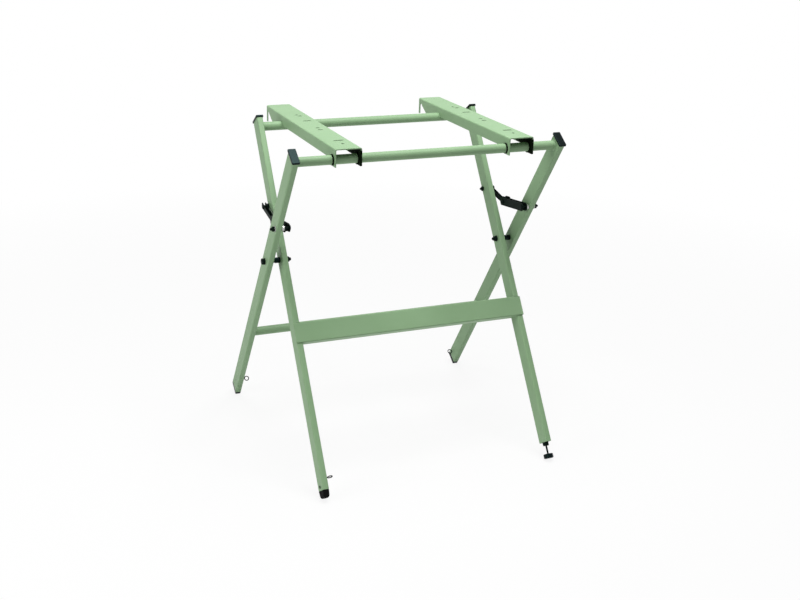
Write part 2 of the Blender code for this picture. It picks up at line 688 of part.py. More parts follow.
def rear_arm_outline():
    """Side of the rear arm: slim at the knuckle at 0, it hangs a little low and widens to its tail."""
    end = REAR_ARM_LENGTH
    narrow = STAY_REAR_NARROW / 2
    wide = STAY_REAR_WIDE / 2
    top = STAY_REAR_TAIL_TOP
    slim_end = STAY_REAR_KNUCKLE_RADIUS + narrow
    tail = end + STAY_REAR_TAIL
    outline = arc_points((0.0, 0.0), STAY_REAR_KNUCKLE_RADIUS, 60.0, 270.0, END_STEPS)
    outline += [(slim_end, -STAY_REAR_SAG - narrow), (tail - wide / 2, -wide), (tail, -wide / 2)]
    outline += [(tail, top / 2), (tail - top / 2, top), (end - wide / 2, top)]
    return outline + [(end - wide, narrow - STAY_REAR_SAG), (slim_end, narrow - STAY_REAR_SAG)]


def rear_web_heights(places):
    """Height of the rear arm's lower edge at each place along it."""
    start = STAY_REAR_KNUCKLE_RADIUS + STAY_REAR_NARROW / 2
    end = REAR_ARM_LENGTH + STAY_REAR_TAIL - STAY_REAR_WIDE / 4
    low_start = -STAY_REAR_SAG - STAY_REAR_NARROW / 2
    fall = (-STAY_REAR_WIDE / 2 - low_start) / (end - start)
    return [low_start + fall * (place - start) for place in places]


def add_stay(name, side, pivot_axis):
    """One folding stay. The front arm turns on the outer leg and the rear arm on the knuckle rivet."""
    front_run = STAY_KNUCKLE - STAY_FRONT_END
    rear_run = STAY_REAR_END - STAY_KNUCKLE
    front_axis = add_axis(f"stay_front_axis_{name}", pivot_axis, (0.0, *STAY_FRONT_END),
                          math.atan2(front_run.y, front_run.x))
    rear_axis = add_axis(f"stay_rear_axis_{name}", pivot_axis, (0.0, *STAY_KNUCKLE),
                         math.atan2(rear_run.y, rear_run.x))
    low_edge = -STAY_FRONT_DEPTH / 2
    front_web = (STAY_FRONT_WEB_INSET, FRONT_ARM_LENGTH - STAY_FRONT_WEB_INSET)
    add_stay_arm(f"stay_front_arm_{name}", front_axis, side, FRONT_ARM_LENGTH, STAY_WIDTH,
                 front_arm_outline(), (low_edge, low_edge), front_web)
    rear_web = (STAY_REAR_WEB_INSET, REAR_ARM_LENGTH + STAY_REAR_TAIL - STAY_REAR_WIDE / 4)
    add_stay_arm(f"stay_rear_arm_{name}", rear_axis, side, REAR_ARM_LENGTH, REAR_ARM_WIDTH,
                 rear_arm_outline(), rear_web_heights(rear_web), rear_web)
    profile = rivet_profile(STAY_WIDTH / 2 + GAP, STAY_BOLT_RADIUS, RIVET_HEAD_RADIUS, RIVET_HEAD_HEIGHT)
    rivet = add_object(f"stay_rivet_{name}", turned_x(profile), rear_axis, BLACK_STEEL)
    rivet.location = (side * STAY_CENTRE, 0.0, 0.0)
    return front_axis, rear_axis


def add_stay_bolt(name, side, front_axis):
    """Bolt at the stay's front end: its head is in the arm, its nut and tip outside the outer leg."""
    bore = STAY_BOLT_RADIUS + HOLE_CLEARANCE
    centre = (0.0, 0.0)
    arm_inner = STAY_CENTRE - STAY_WIDTH / 2 - GAP
    arm_outer = STAY_CENTRE + STAY_WIDTH / 2 + GAP
    washer_from = OUTER_FACE + GAP
    washer_to = washer_from + WASHER_THICKNESS
    nut_from = washer_to + GAP
    nut_to = nut_from + STAY_NUT_HEIGHT
    add_ring(f"stay_spacer_{name}", front_axis, centre, (side * arm_outer, side * (OUTER_INSIDE - GAP)),
             STAY_SPACER_RADIUS, bore, ZINC_STEEL)
    add_ring(f"stay_washer_{name}", front_axis, centre, (side * washer_from, side * washer_to),
             STAY_WASHER_RADIUS, bore, ZINC_STEEL)
    add_bolt(f"stay_bolt_{name}", front_axis, centre, side * arm_inner, side * (nut_to + STAY_THREAD_SHOWN),
             STAY_BOLT_RADIUS, STAY_HEAD_FLATS, STAY_THIN_HEAD_HEIGHT)
    add_nut(f"stay_nut_{name}", front_axis, centre, (side * nut_from, side * nut_to),
            STAY_HEAD_FLATS, bore)


def add_stay_anchor(name, side, inner_axis):
    """Stud through the inner leg, with its nut and tip inside the frame."""
    place = (STAY_BELOW_LEG_MIDDLE, STAY_REAR_FROM_PIVOT)
    nut_from = INNER_INSIDE - GAP
    nut_to = nut_from - STAY_ANCHOR_NUT_HEIGHT
    tip = nut_to - STAY_ANCHOR_THREAD_SHOWN
    start = INNER_FACE - GAP
    point = STAY_BOLT_RADIUS * TIP_LENGTH_SHARE
    profile = [(side * start, STAY_BOLT_RADIUS), (side * (tip + point), STAY_BOLT_RADIUS),
               (side * tip, STAY_BOLT_RADIUS * TIP_SHARE)]
    stud = add_object(f"stay_anchor_bolt_{name}", turned_x(profile), inner_axis, BLACK_STEEL)
    stud.location = (0.0, *place)
    add_nut(f"stay_anchor_nut_{name}", inner_axis, place, (side * nut_from, side * nut_to),
            STAY_HEAD_FLATS, STAY_BOLT_RADIUS + HOLE_CLEARANCE)


def add_stay_end_pin(name, side, rear_axis):
    """Pin through the rear arm's outer end, with the collar that keeps the arm off the inner leg."""
    inner_end = INNER_FACE + GAP
    wall_in = STAY_CENTRE - REAR_ARM_WIDTH / 2 - GAP
    wall_out = STAY_CENTRE + REAR_ARM_WIDTH / 2 + GAP
    head = hexagon(STAY_HEAD_FLATS)
    profile = [(inner_end, STAY_SPACER_RADIUS), (wall_in, STAY_SPACER_RADIUS), (wall_in, STAY_BOLT_RADIUS),
               (wall_out, STAY_BOLT_RADIUS), (wall_out, head), (wall_out + RIVET_HEAD_HEIGHT, head)]
    pin = add_object(f"stay_end_pin_{name}", turned_x([(side * x, shape) for x, shape in profile]),
                     rear_axis, BLACK_STEEL)
    pin.location = (0.0, REAR_ARM_LENGTH, 0.0)


def slot_outline(centre_x, centre_y, length, width):
    """Round-ended slot across the rail."""
    reach = length / 2 - width / 2
    right = arc_points((centre_x + reach, centre_y), width / 2, -90.0, 90.0, END_STEPS)
    return right + arc_points((centre_x - reach, centre_y), width / 2, 90.0, 270.0, END_STEPS)


def rail_cross_section():
    """Inverted channel in X and Z about the rail's middle, the top tube's axis at the origin."""
    top = RAIL_TOP_ABOVE_TUBE
    bottom = top - RAIL_TAB_DEPTH
    half = RAIL_WIDTH / 2
    sheet = RAIL_SHEET
    bend = RAIL_BEND
    inner_bend = bend - sheet / 2
    outline = [(half, bottom)] + arc_points((half - bend, top - bend), bend, 0.0, 90.0, CORNER_STEPS)
    outline += arc_points((-half + bend, top - bend), bend, 90.0, 180.0, CORNER_STEPS)
    outline.append((-half, bottom))
    inside = half - sheet
    roof = top - sheet
    outline += [(-inside, bottom)]
    outline += arc_points((-inside + inner_bend, roof - inner_bend), inner_bend, 180.0, 90.0, CORNER_STEPS)
    outline += arc_points((inside - inner_bend, roof - inner_bend), inner_bend, 90.0, 0.0, CORNER_STEPS)
    outline += [(inside, bottom)]
    return outline


def rail_side_relief(tube_spacing):
    """What is cut from the flanges, in Y and Z: tabs stay at the ends, with a hook near the rear."""
    top = RAIL_TOP_ABOVE_TUBE
    edge = top - RAIL_DEPTH
    below = top - RAIL_TAB_DEPTH - CUT_MARGIN
    rear_end = tube_spacing + RAIL_REAR_OVERHANG
    tab_end = RAIL_FRONT_TAB_LENGTH - RAIL_FRONT_OVERHANG
    tab_low = top - RAIL_TAB_DEPTH
    hook_top = top - RAIL_HOOK_TOP_BELOW_RAIL
    hook_rear = rear_end - RAIL_FINGER_LENGTH
    hook_front = hook_rear - RAIL_HOOK_TOP_LENGTH
    hook_radius = RAIL_HOOK_TOP_LENGTH / 2
    rear_tab = top - RAIL_REAR_TAB_DEPTH
    outline = [(tab_end, below), (tab_end, tab_low), (tab_end + RAIL_TAB_SLOPE, edge)]
    rear_tab_end = rear_end - RAIL_REAR_TAB_END
    outline += [(rear_tab_end - RAIL_TAB_SLOPE, edge), (rear_tab_end, rear_tab)]
    outline.append((rear_end - RAIL_REAR_TAB_START, rear_tab))
    hook_centre = (hook_rear - hook_radius, hook_top - hook_radius)
    outline += arc_points(hook_centre, hook_radius, 150.0, 0.0, END_STEPS)
    outline += [(hook_rear, below)]
    return outline


def add_rail(name, left_edge, outer_axis, tube_place, tube_spacing):
    """Top rail with its hinge empty on the front top tube's axis."""
    middle = left_edge + RAIL_WIDTH / 2
    axis = add_axis(f"rail_axis_{name}", outer_axis, (middle, tube_place[0], tube_place[1]))
    front = -RAIL_FRONT_OVERHANG
    rear = tube_spacing + RAIL_REAR_OVERHANG
    section = rail_cross_section()
    sections = [[(x, place, z) for x, z in section] for place in (front, rear)]
    rail = add_object(f"top_rail_{name}", loft(sections), axis, SAGE_PAINT)

    relief = prism_along_x(rail_side_relief(tube_spacing), -RAIL_WIDTH, RAIL_WIDTH)
    add_cutter(f"rail_relief_{name}", relief, rail)
    seat = [(tube_spacing + y, z) for y, z in circle(TUBE_RADIUS + GAP + HOLE_CLEARANCE / 3, ROUND_FACETS)]
    add_cutter(f"rail_seat_{name}", prism_along_x(seat, -RAIL_WIDTH, RAIL_WIDTH), rail)
    eye = circle(BUSH_RADIUS + HOLE_CLEARANCE, ROUND_FACETS)
    add_cutter(f"rail_eye_{name}", prism_along_x(eye, -RAIL_WIDTH, RAIL_WIDTH), rail)
    top = RAIL_TOP_ABOVE_TUBE

    def build_slots(work):
        for distance, offset, length in RAIL_OPENINGS:
            width = SLOT_WIDTH if length > HOLE_WIDTH else length
            outline = slot_outline(offset, front + distance, length, width)
            heights = (top - 2 * RAIL_SHEET, top + CUT_MARGIN)
            add_loft(work, [at_height(outline, height) for height in heights])

    add_cutter(f"rail_slots_{name}", mesh_from(build_slots), rail)
    add_rail_fittings(name, axis)


def guide_outline():
    """Side of a guide plate: it follows the flange's front tab and the slope behind the tab."""
    top = RAIL_TOP_ABOVE_TUBE
    nose = -RAIL_FRONT_OVERHANG - GAP - GUIDE_LIP
    rear = nose + GUIDE_LENGTH
    roof = top - RAIL_SHEET - RAIL_BEND
    low = top - RAIL_TAB_DEPTH
    shallow = top - RAIL_DEPTH + GUIDE_MARGIN
    tab_end = RAIL_FRONT_TAB_LENGTH - RAIL_FRONT_OVERHANG - GUIDE_MARGIN
    outline = [(nose, low), (tab_end, low), (tab_end + RAIL_TAB_SLOPE, shallow)]
    return outline + [(rear, shallow), (rear, roof), (nose, roof)]


def add_guide_plate(name, axis):
    """Thin black plate inside the right flange, with a lip over the flange's front edge."""
    flange_in = RAIL_WIDTH / 2 - RAIL_SHEET - GAP
    plate_in = flange_in - GUIDE_THICKNESS
    body = prism_along_x(guide_outline(), plate_in, RAIL_WIDTH / 2)
    plate = add_object(f"rail_guide_plate_{name}", body, axis, BLACK_PLASTIC)
    lip_back = -RAIL_FRONT_OVERHANG - GAP
    flange = [(lip_back, -RAIL_WIDTH), (GUIDE_LENGTH, -RAIL_WIDTH), (GUIDE_LENGTH, RAIL_WIDTH),
              (lip_back, RAIL_WIDTH)]
    add_cutter(f"rail_guide_flange_{name}", prism_along_x(flange, flange_in, RAIL_WIDTH), plate)
    eye = circle(BUSH_RADIUS + HOLE_CLEARANCE, ROUND_FACETS)
    add_cutter(f"rail_guide_eye_{name}", prism_along_x(eye, 0.0, RAIL_WIDTH), plate)


def add_rail_fittings(name, axis):
    """Guide plate inside the right flange and the two bushes that slide on the tube."""
    add_guide_plate(name, axis)
    left_in = -RAIL_WIDTH / 2 + RAIL_SHEET + GAP
    right_in = RAIL_WIDTH / 2 - RAIL_SHEET - GAP - GUIDE_THICKNESS - GAP
    outside = RAIL_WIDTH / 2 + BUSH_PROUD
    bore = circle(TUBE_RADIUS + BUSH_RUNNING_CLEARANCE)
    body = circle(BUSH_RADIUS)
    collar = circle(BUSH_RADIUS + BUSH_COLLAR)
    for label, proud, inside, way in (("left", -outside, left_in, 1), ("right", outside, right_in, -1)):
        end = inside + way * BUSH_COLLAR_THICKNESS
        shape = [at_x(body, proud), at_x(body, inside), at_x(collar, inside), at_x(collar, end),
                 at_x(bore, end), at_x(bore, proud)]
        add_object(f"rail_{name}_bush_{label}", loft(shape, ring=True), axis, BLACK_PLASTIC)


def build_stand():
    clear_scene()
    front_reach = plan_reach(RUBBER_FOOT_TIP, LEG_WIDTH / 2 - RUBBER_FOOT_NARROWING, RUBBER_FOOT_EDGE)
    rear_reach = plan_reach(REAR_FOOT_TIP, LEG_WIDTH / 2, FOOT_CAP_EDGE)
    pivot_axis = add_axis("pivot_axis", None, (0.0, (front_reach - rear_reach) / 2, PIVOT_HEIGHT))
    outer_axis = add_axis("outer_frame_axis", pivot_axis, (0.0, 0.0, 0.0), LEAN)
    inner_axis = add_axis("inner_frame_axis", pivot_axis, (0.0, 0.0, 0.0), -LEAN)
    stay_hole = STAY_BOLT_RADIUS + HOLE_CLEARANCE
    pivot_hole = (0.0, 0.0, PIVOT_BOLT_RADIUS + HOLE_CLEARANCE)
    front_hole = (-STAY_BELOW_LEG_MIDDLE, STAY_FRONT_FROM_PIVOT, stay_hole)
    rear_hole = (STAY_BELOW_LEG_MIDDLE, STAY_REAR_FROM_PIVOT, stay_hole)
    rivet_hole = (0.0, -INNER_LEG_END + FOOT_PIN_FROM_END, FOOT_PIN_RADIUS + GAP)
    top_rim = (CAP_EDGE, CAP_EDGE, CAP_OVERHANG, CAP_CORNER)
    foot_rim = (FOOT_CAP_EDGE, FOOT_CAP_SIDE_EDGE, 0.0, LEG_CORNER)

    for name, side in (("left", -1), ("right", 1)):
        outer_x = side * OUTER_SPACING / 2
        inner_x = side * INNER_SPACING / 2
        add_leg(f"outer_leg_{name}", outer_axis, outer_x, LEG_ABOVE_PIVOT, OUTER_LEG_END,
                (pivot_hole, front_hole))
        inner_end = INNER_LEG_END if side < 0 else LEVEL_LEG_END
        inner_holes = (pivot_hole, rear_hole, rivet_hole) if side < 0 else (pivot_hole, rear_hole)
        add_leg(f"inner_leg_{name}", inner_axis, inner_x, LEG_ABOVE_PIVOT, inner_end, inner_holes)
        add_cap(f"outer_top_cap_{name}", outer_axis, outer_x, LEG_ABOVE_PIVOT, CAP_THICKNESS, top_rim, 1)
        add_cap(f"inner_top_cap_{name}", inner_axis, inner_x, LEG_ABOVE_PIVOT, CAP_THICKNESS, top_rim, 1)
        add_cap(f"rear_foot_cap_{name}", outer_axis, outer_x, -OUTER_LEG_END, FOOT_CAP_THICKNESS,
                foot_rim, -1)
        add_pivot(name, pivot_axis, side)
        front_axis, rear_axis = add_stay(name, side, pivot_axis)
        add_stay_bolt(name, side, front_axis)
        add_stay_end_pin(name, side, rear_axis)
        add_stay_anchor(name, side, inner_axis)

    outer_half = OUTER_INSIDE - GAP
    inner_half = INNER_INSIDE - GAP
    add_cross_tube("front_top_tube", outer_axis, outer_half, TOP_TUBE_FROM_PIVOT, TOP_TUBE_OFFSET)
    add_cross_tube("rear_lower_tube", outer_axis, outer_half, -LOWER_TUBE_FROM_PIVOT, 0.0)
    add_cross_tube("rear_top_tube", inner_axis, inner_half, TOP_TUBE_FROM_PIVOT, -TOP_TUBE_OFFSET)
    add_panel(inner_axis)
    add_rubber_foot(inner_axis, -INNER_SPACING / 2)
    add_foot_pin(inner_axis, -INNER_SPACING / 2)
    add_tie_eye("rear_tie_eye_left", outer_axis, -OUTER_INSIDE, 1,
                OUTER_LEG_END - REAR_LEFT_EYE_FROM_END, REAR_LEFT_EYE_OFFSET, EYE_TILT)
    add_tie_eye("rear_tie_eye_right", outer_axis, OUTER_INSIDE, -1,
                OUTER_LEG_END - REAR_RIGHT_EYE_FROM_END, REAR_RIGHT_EYE_OFFSET, EYE_TILT)
    add_tie_eye("front_tie_eye", inner_axis, -INNER_INSIDE, 1,
                INNER_LEG_END - FRONT_EYE_FROM_END, FRONT_EYE_OFFSET, -EYE_TILT)
    add_levelling_nut(inner_axis, INNER_SPACING / 2)
    add_levelling_foot(inner_axis, INNER_SPACING / 2)

    front_y = -math.sin(LEAN) * TOP_TUBE_FROM_PIVOT + math.cos(LEAN) * TOP_TUBE_OFFSET
    tube_z = math.cos(LEAN) * TOP_TUBE_FROM_PIVOT + math.sin(LEAN) * TOP_TUBE_OFFSET
    for name, left_edge in (("left", LEFT_RAIL_EDGE), ("right", RIGHT_RAIL_EDGE)):
        add_rail(name, left_edge, pivot_axis, (front_y, tube_z), -2 * front_y)


build_stand()
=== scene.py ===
"""Folding miter saw stand in a plain studio: paint, moulded parts, threads and weld beads.

Metres, +Z up, floor at z = 0, the front of the stand towards -Y.
"""
import json
import math

import bmesh
import bpy
from mathutils import Matrix, Vector

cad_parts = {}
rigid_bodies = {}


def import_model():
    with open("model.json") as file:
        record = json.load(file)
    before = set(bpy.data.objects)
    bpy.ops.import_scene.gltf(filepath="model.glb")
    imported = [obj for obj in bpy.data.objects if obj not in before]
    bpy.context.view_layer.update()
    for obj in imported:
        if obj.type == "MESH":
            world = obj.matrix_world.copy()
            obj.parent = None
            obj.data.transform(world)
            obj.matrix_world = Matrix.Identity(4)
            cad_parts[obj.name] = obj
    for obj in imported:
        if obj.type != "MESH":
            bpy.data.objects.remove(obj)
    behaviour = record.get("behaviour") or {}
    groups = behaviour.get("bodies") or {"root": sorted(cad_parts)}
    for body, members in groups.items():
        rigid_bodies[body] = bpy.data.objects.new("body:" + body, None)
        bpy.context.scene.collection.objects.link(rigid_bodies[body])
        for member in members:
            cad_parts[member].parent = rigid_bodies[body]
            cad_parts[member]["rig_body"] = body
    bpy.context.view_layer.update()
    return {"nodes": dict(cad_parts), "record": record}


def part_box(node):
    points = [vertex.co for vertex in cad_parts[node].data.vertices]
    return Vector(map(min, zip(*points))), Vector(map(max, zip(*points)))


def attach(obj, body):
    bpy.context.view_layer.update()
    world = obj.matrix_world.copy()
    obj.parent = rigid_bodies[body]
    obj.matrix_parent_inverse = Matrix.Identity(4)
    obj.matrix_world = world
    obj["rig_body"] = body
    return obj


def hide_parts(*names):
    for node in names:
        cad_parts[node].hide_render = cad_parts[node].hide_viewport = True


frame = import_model()
NODES = frame["nodes"]

# The folding axis, and the directions of the inner legs
AXIS = Vector((0.0, -0.000835, 0.4815))
LEAN = math.radians(34.5)
SIDEWAYS = Vector((1.0, 0.0, 0.0))
DOWN_LEG = Vector((0.0, -math.sin(LEAN), -math.cos(LEAN)))
LEG_FRONT = Vector((0.0, -math.cos(LEAN), math.sin(LEAN)))

# Camera
CAMERA_PLACE = AXIS + Vector((-1.0807, -2.6057, 0.8912))
CAMERA_AZIMUTH = math.radians(-22.788)
CAMERA_ELEVATION = math.radians(17.630)
CAMERA_ROLL = math.radians(1.548)
CAMERA_SENSOR = 36.0
CAMERA_LENS = 53.046
CAMERA_SHIFT_Y = -0.0617

# Light
WHITE = (1.0, 1.0, 1.0)
ROOM_LIGHT = 0.13
OVERHEAD_PLACE = (0.10, -0.25, 2.9)
OVERHEAD_AIM = (0.0, 0.0, 0.6)
OVERHEAD_SIZE = 1.9
OVERHEAD_POWER = 76.0
FILL_PLACE = (-2.6, -0.5, 1.3)
FILL_AIM = (0.0, 0.0, 0.5)
FILL_SIZE = 1.6
FILL_POWER = 25.0

# Floor, with the share of shadow that shows near the feet and where it starts and ends to fade
FLOOR_HALF = 9.0
FLOOR_BELOW = 0.0002
FLOOR_SHADOW = 0.12
FLOOR_NEAR = 0.9
FLOOR_FAR = 2.6
FLOOR_ROUGHNESS = 0.9
FLOOR_PALE = (0.92, 0.92, 0.92)
FLOOR_PATCHES = (0.89, 0.89, 0.89)

# Linear colours of the paint and coatings
SAGE = (0.262, 0.414, 0.232)
# Lighter sage for the edges: partly wear, partly a painted highlight
SAGE_SCUFF_AND_HIGHLIGHT = (0.42, 0.53, 0.39)
SAGE_SHADE = (0.198, 0.340, 0.174)
# Painted shade inside channels and recesses, and deeper painted shade in slots
SAGE_RECESS_SHADE = (0.050, 0.086, 0.042)
SAGE_SLOT_SHADE = (0.020, 0.036, 0.016)
PLASTIC_BLACK = (0.0018, 0.0022, 0.0022)
PLASTIC_WORN = (0.018, 0.019, 0.020)
PLASTIC_SHEEN = (0.42, 1.0, 1.0)
NYLON_BLACK = (0.004, 0.008, 0.003)
RUBBER_BLACK = (0.004, 0.004, 0.004)
RUBBER_DUST = (0.016, 0.016, 0.015)
# Black steel tinted teal as a painted sheen
STEEL_BLACK_TEAL_SHEEN = (0.004, 0.010, 0.0075)
STEEL_RUBBED = (0.075, 0.090, 0.092)
ZINC = (0.58, 0.585, 0.57)
ZINC_DULL = (0.36, 0.37, 0.36)

# Gloss of the paint, and how near a wall has to be for painted shade in a recess or a slot
PAINT_GLOSS = 0.28
RECESS_REACH = 0.04
SLOT_REACH = 0.010


class Spread:
    """A number, colour or direction that changes over a surface; sums on it add nodes."""

    def __init__(self, nodes, socket):
        self.nodes = nodes
        self.socket = socket

    def sum(self, operation, left, right):
        return self.nodes.node("ShaderNodeMath", {"operation": operation}, {0: left, 1: right})

    def __add__(self, other):
        return self.sum("ADD", self, other)

    def __radd__(self, other):
        return self.sum("ADD", other, self)

    def __sub__(self, other):
        return self.sum("SUBTRACT", self, other)

    def __rsub__(self, other):
        return self.sum("SUBTRACT", other, self)

    def __mul__(self, other):
        return self.sum("MULTIPLY", self, other)

    def __rmul__(self, other):
        return self.sum("MULTIPLY", other, self)


class Nodes:
    """A node tree; every node that is added to it comes from node()."""

    def __init__(self, tree):
        self.tree = tree

    def node(self, kind, settings=None, inputs=None, output=0):
        made = self.tree.nodes.new(kind)
        for name, value in (settings or {}).items():
            setattr(made, name, value)
        for key, value in (inputs or {}).items():
            self.feed(made.inputs[key], value)
        return Spread(self, made.outputs[output]) if made.outputs else None

    def feed(self, socket, value):
        if isinstance(value, Spread):
            self.tree.links.new(value.socket, socket)
        elif isinstance(value, tuple) and socket.type == "RGBA":
            socket.default_value = (*value, 1.0)
        else:
            socket.default_value = value

    def seen(self):
        """1 for what the camera, a reflection or a clear part shows, 0 for light on a surface."""
        rays = [self.node("ShaderNodeLightPath", output=ray)
                for ray in ("Is Camera Ray", "Is Glossy Ray", "Is Transmission Ray")]
        return rays[0] + rays[1] + rays[2]


class Finish(Nodes):
    """A material that starts as one glossy surface and gains its own nodes."""

    def __init__(self, name, **fixed):
        self.material = bpy.data.materials.new(name)
        self.material.use_nodes = True
        super().__init__(self.material.node_tree)
        self.surface = self.tree.nodes["Principled BSDF"]
        for socket, value in fixed.items():
            self.feed(self.surface.inputs[socket.replace("_", " ")], value)

    def noise(self, scale, detail=3.0, roughness=0.5):
        place = self.node("ShaderNodeTexCoord", output="Object")
        values = {"Vector": place, "Scale": scale, "Detail": detail, "Roughness": roughness}
        return self.node("ShaderNodeTexNoise", None, values)

    def ramp(self, value, low, high, start=0.0, end=1.0):
        """value taken from low..high to start..end, held at both ends."""
        values = {0: value, 1: low, 2: high, 3: start, 4: end}
        return self.node("ShaderNodeMapRange", {"clamp": True}, values)

    def blend(self, amount, first, second):
        """Colour first where amount is 0 and second where it is 1."""
        values = {0: amount, 6: first, 7: second}
        return self.node("ShaderNodeMix", {"data_type": "RGBA"}, values, output=2)

    def rounded(self, radius):
        """Surface direction with sharp edges eased over radius."""
        return self.node("ShaderNodeBevel", {"samples": 5}, {"Radius": radius})

    def edges(self, rounded):
        """How far the surface is turned by the eased edge, 0 on flats."""
        flat = self.node("ShaderNodeNewGeometry", output="Normal")
        values = {0: rounded, 1: flat}
        along = self.node("ShaderNodeVectorMath", {"operation": "DOT_PRODUCT"}, values, output="Value")
        return 1.0 - along

    def open_side(self, distance):
        """1 where nothing of the same piece stands within the distance, less inside a fold."""
        settings = {"samples": 6, "only_local": True}
        return self.node("ShaderNodeAmbientOcclusion", settings, {"Distance": distance}, output="AO")

    def bump(self, height, distance, strength, normal=None):
        values = {"Height": height, "Distance": distance, "Strength": strength}
        if normal is not None:
            values["Normal"] = normal
        return self.node("ShaderNodeBump", None, values)

    def show(self, colour, roughness=None, normal=None, metallic=None):
        for socket, value in (("Base Color", colour), ("Roughness", roughness),
                              ("Normal", normal), ("Metallic", metallic)):
            if value is not None:
                self.feed(self.surface.inputs[socket], value)
        return self.material


def sage_coat():
    """Baked satin paint: orange peel, slow drift, edges lighter from wear and painted highlight, painted
    shade inside channels and slots.
    """
    coat = Finish("sage_coat", Specular_IOR_Level=PAINT_GLOSS)
    drift = coat.noise(scale=7.0, detail=2.0)
    mottle = coat.noise(scale=60.0, detail=4.0, roughness=0.6)
    peel = coat.noise(scale=900.0, detail=1.0)
    eased = coat.rounded(radius=0.0010)
    shaded = coat.ramp(drift, low=0.35, high=0.65, end=0.30)
    # Edges lighter: partly wear broken up by the mottle, partly a painted highlight
    edge = coat.ramp(coat.edges(eased), low=0.015, high=0.12)
    scuff_and_highlight = edge * coat.ramp(mottle, low=0.42, high=0.60) * 0.55
    # Painted shade: darker in recesses, darker still in slots, where walls of the same piece stand near
    recess_shade = coat.ramp(coat.open_side(RECESS_REACH), low=0.35, high=0.85, start=0.85, end=0.0)
    slot = coat.ramp(coat.open_side(SLOT_REACH), low=0.50, high=0.80, start=0.9, end=0.0)
    colour = coat.blend(scuff_and_highlight, coat.blend(shaded, SAGE, SAGE_SHADE), SAGE_SCUFF_AND_HIGHLIGHT)
    colour = coat.blend(slot, coat.blend(recess_shade, colour, SAGE_RECESS_SHADE), SAGE_SLOT_SHADE)
    relief = coat.bump(peel, distance=0.00025, strength=0.35, normal=eased)
    relief = coat.bump(mottle, distance=0.0008, strength=0.15, normal=relief)
    return coat.show(colour, 0.42 + mottle * 0.12, relief)


def weld_coat():
    """The same paint over a rippled weld bead."""
    coat = Finish("weld_coat", Specular_IOR_Level=PAINT_GLOSS)
    grain = coat.noise(scale=500.0)
    shaded = coat.ramp(grain, low=0.35, high=0.7, end=0.5)
    relief = coat.bump(grain, distance=0.0004, strength=0.4)
    return coat.show(coat.blend(shaded, SAGE, SAGE_SHADE), 0.44 + grain * 0.1, relief)


def moulded_black():
    """Black moulded plastic with a fine grain, greyer where it is rubbed."""
    plastic = Finish("moulded_black", Specular_IOR_Level=0.10, Specular_Tint=PLASTIC_SHEEN)
    grain = plastic.noise(scale=1400.0, detail=2.0)
    cloud = plastic.noise(scale=80.0, detail=4.0)
    eased = plastic.rounded(radius=0.0008)
    edge = plastic.ramp(plastic.edges(eased), low=0.02, high=0.2)
    rubbed = edge * plastic.ramp(cloud, low=0.4, high=0.7) * 0.8
    colour = plastic.blend(rubbed, PLASTIC_BLACK, PLASTIC_WORN)
    relief = plastic.bump(grain, distance=0.0002, strength=0.5, normal=eased)
    return plastic.show(colour, 0.20 + cloud * 0.10, relief)


def slide_black():
    """Dull black nylon of the rails' bushes and guide plates; on the guide plates the black also serves
    as painted shade inside the rails' channels.
    """
    nylon = Finish("slide_black", Specular_IOR_Level=0.02)
    grain = nylon.noise(scale=900.0, detail=2.0)
    eased = nylon.rounded(radius=0.0006)
    relief = nylon.bump(grain, distance=0.0002, strength=0.5, normal=eased)
    return nylon.show(NYLON_BLACK, 0.66 + grain * 0.12, relief)


def foot_rubber():
    """Matt rubber with a dusty, scuffed skin."""
    rubber = Finish("foot_rubber", Specular_IOR_Level=0.06)
    grain = rubber.noise(scale=700.0, detail=4.0)
    dust = rubber.noise(scale=45.0, detail=5.0, roughness=0.65)
    eased = rubber.rounded(radius=0.0012)
    dusty = rubber.ramp(dust, low=0.45, high=0.75, end=0.5)
    colour = rubber.blend(dusty, RUBBER_BLACK, RUBBER_DUST)
    relief = rubber.bump(grain, distance=0.0004, strength=0.5, normal=eased)
    return rubber.show(colour, 0.72 + dust * 0.15, relief)


def blackened_steel():
    """Blackened steel with a teal tint in its black as a painted sheen, rubbed brighter on its edges."""
    steel = Finish("blackened_steel", Specular_IOR_Level=0.035)
    cloud = steel.noise(scale=110.0, detail=4.0)
    grain = steel.noise(scale=1600.0, detail=2.0)
    eased = steel.rounded(radius=0.0006)
    edge = steel.ramp(steel.edges(eased), low=0.02, high=0.2)
    rubbed = edge * steel.ramp(cloud, low=0.38, high=0.62) * 0.6
    colour = steel.blend(rubbed, STEEL_BLACK_TEAL_SHEEN, STEEL_RUBBED)
    relief = steel.bump(grain, distance=0.0001, strength=0.4, normal=eased)
    return steel.show(colour, 0.34 + cloud * 0.16, relief, metallic=rubbed)


def zinc_plate():
    """Zinc plating, dull in patches, with turned marks."""
    zinc = Finish("zinc_plate")
    cloud = zinc.noise(scale=260.0, detail=5.0)
    scratch = zinc.noise(scale=1800.0, detail=2.0)
    eased = zinc.rounded(radius=0.0004)
    dull = zinc.ramp(cloud, low=0.35, high=0.7)
    relief = zinc.bump(scratch, distance=0.0001, strength=0.5, normal=eased)
    return zinc.show(zinc.blend(dull, ZINC, ZINC_DULL), 0.28 + cloud * 0.2, relief, metallic=1.0)


SLOT_FINISHES = {
    "sage_paint": sage_coat(),
    "black_plastic": moulded_black(),
    "black_rubber": foot_rubber(),
    "black_steel": blackened_steel(),
    "zinc_steel": zinc_plate(),
}
WELD_FINISH = weld_coat()

# The rails' bushes and guide plates are duller than the other plastic; the guide plates' black along the
# right flanges is partly a dark sheet for painted shade inside the channels
SLIDE_FINISH = slide_black()
SLIDE_PIECES = ("bush", "guide_plate")

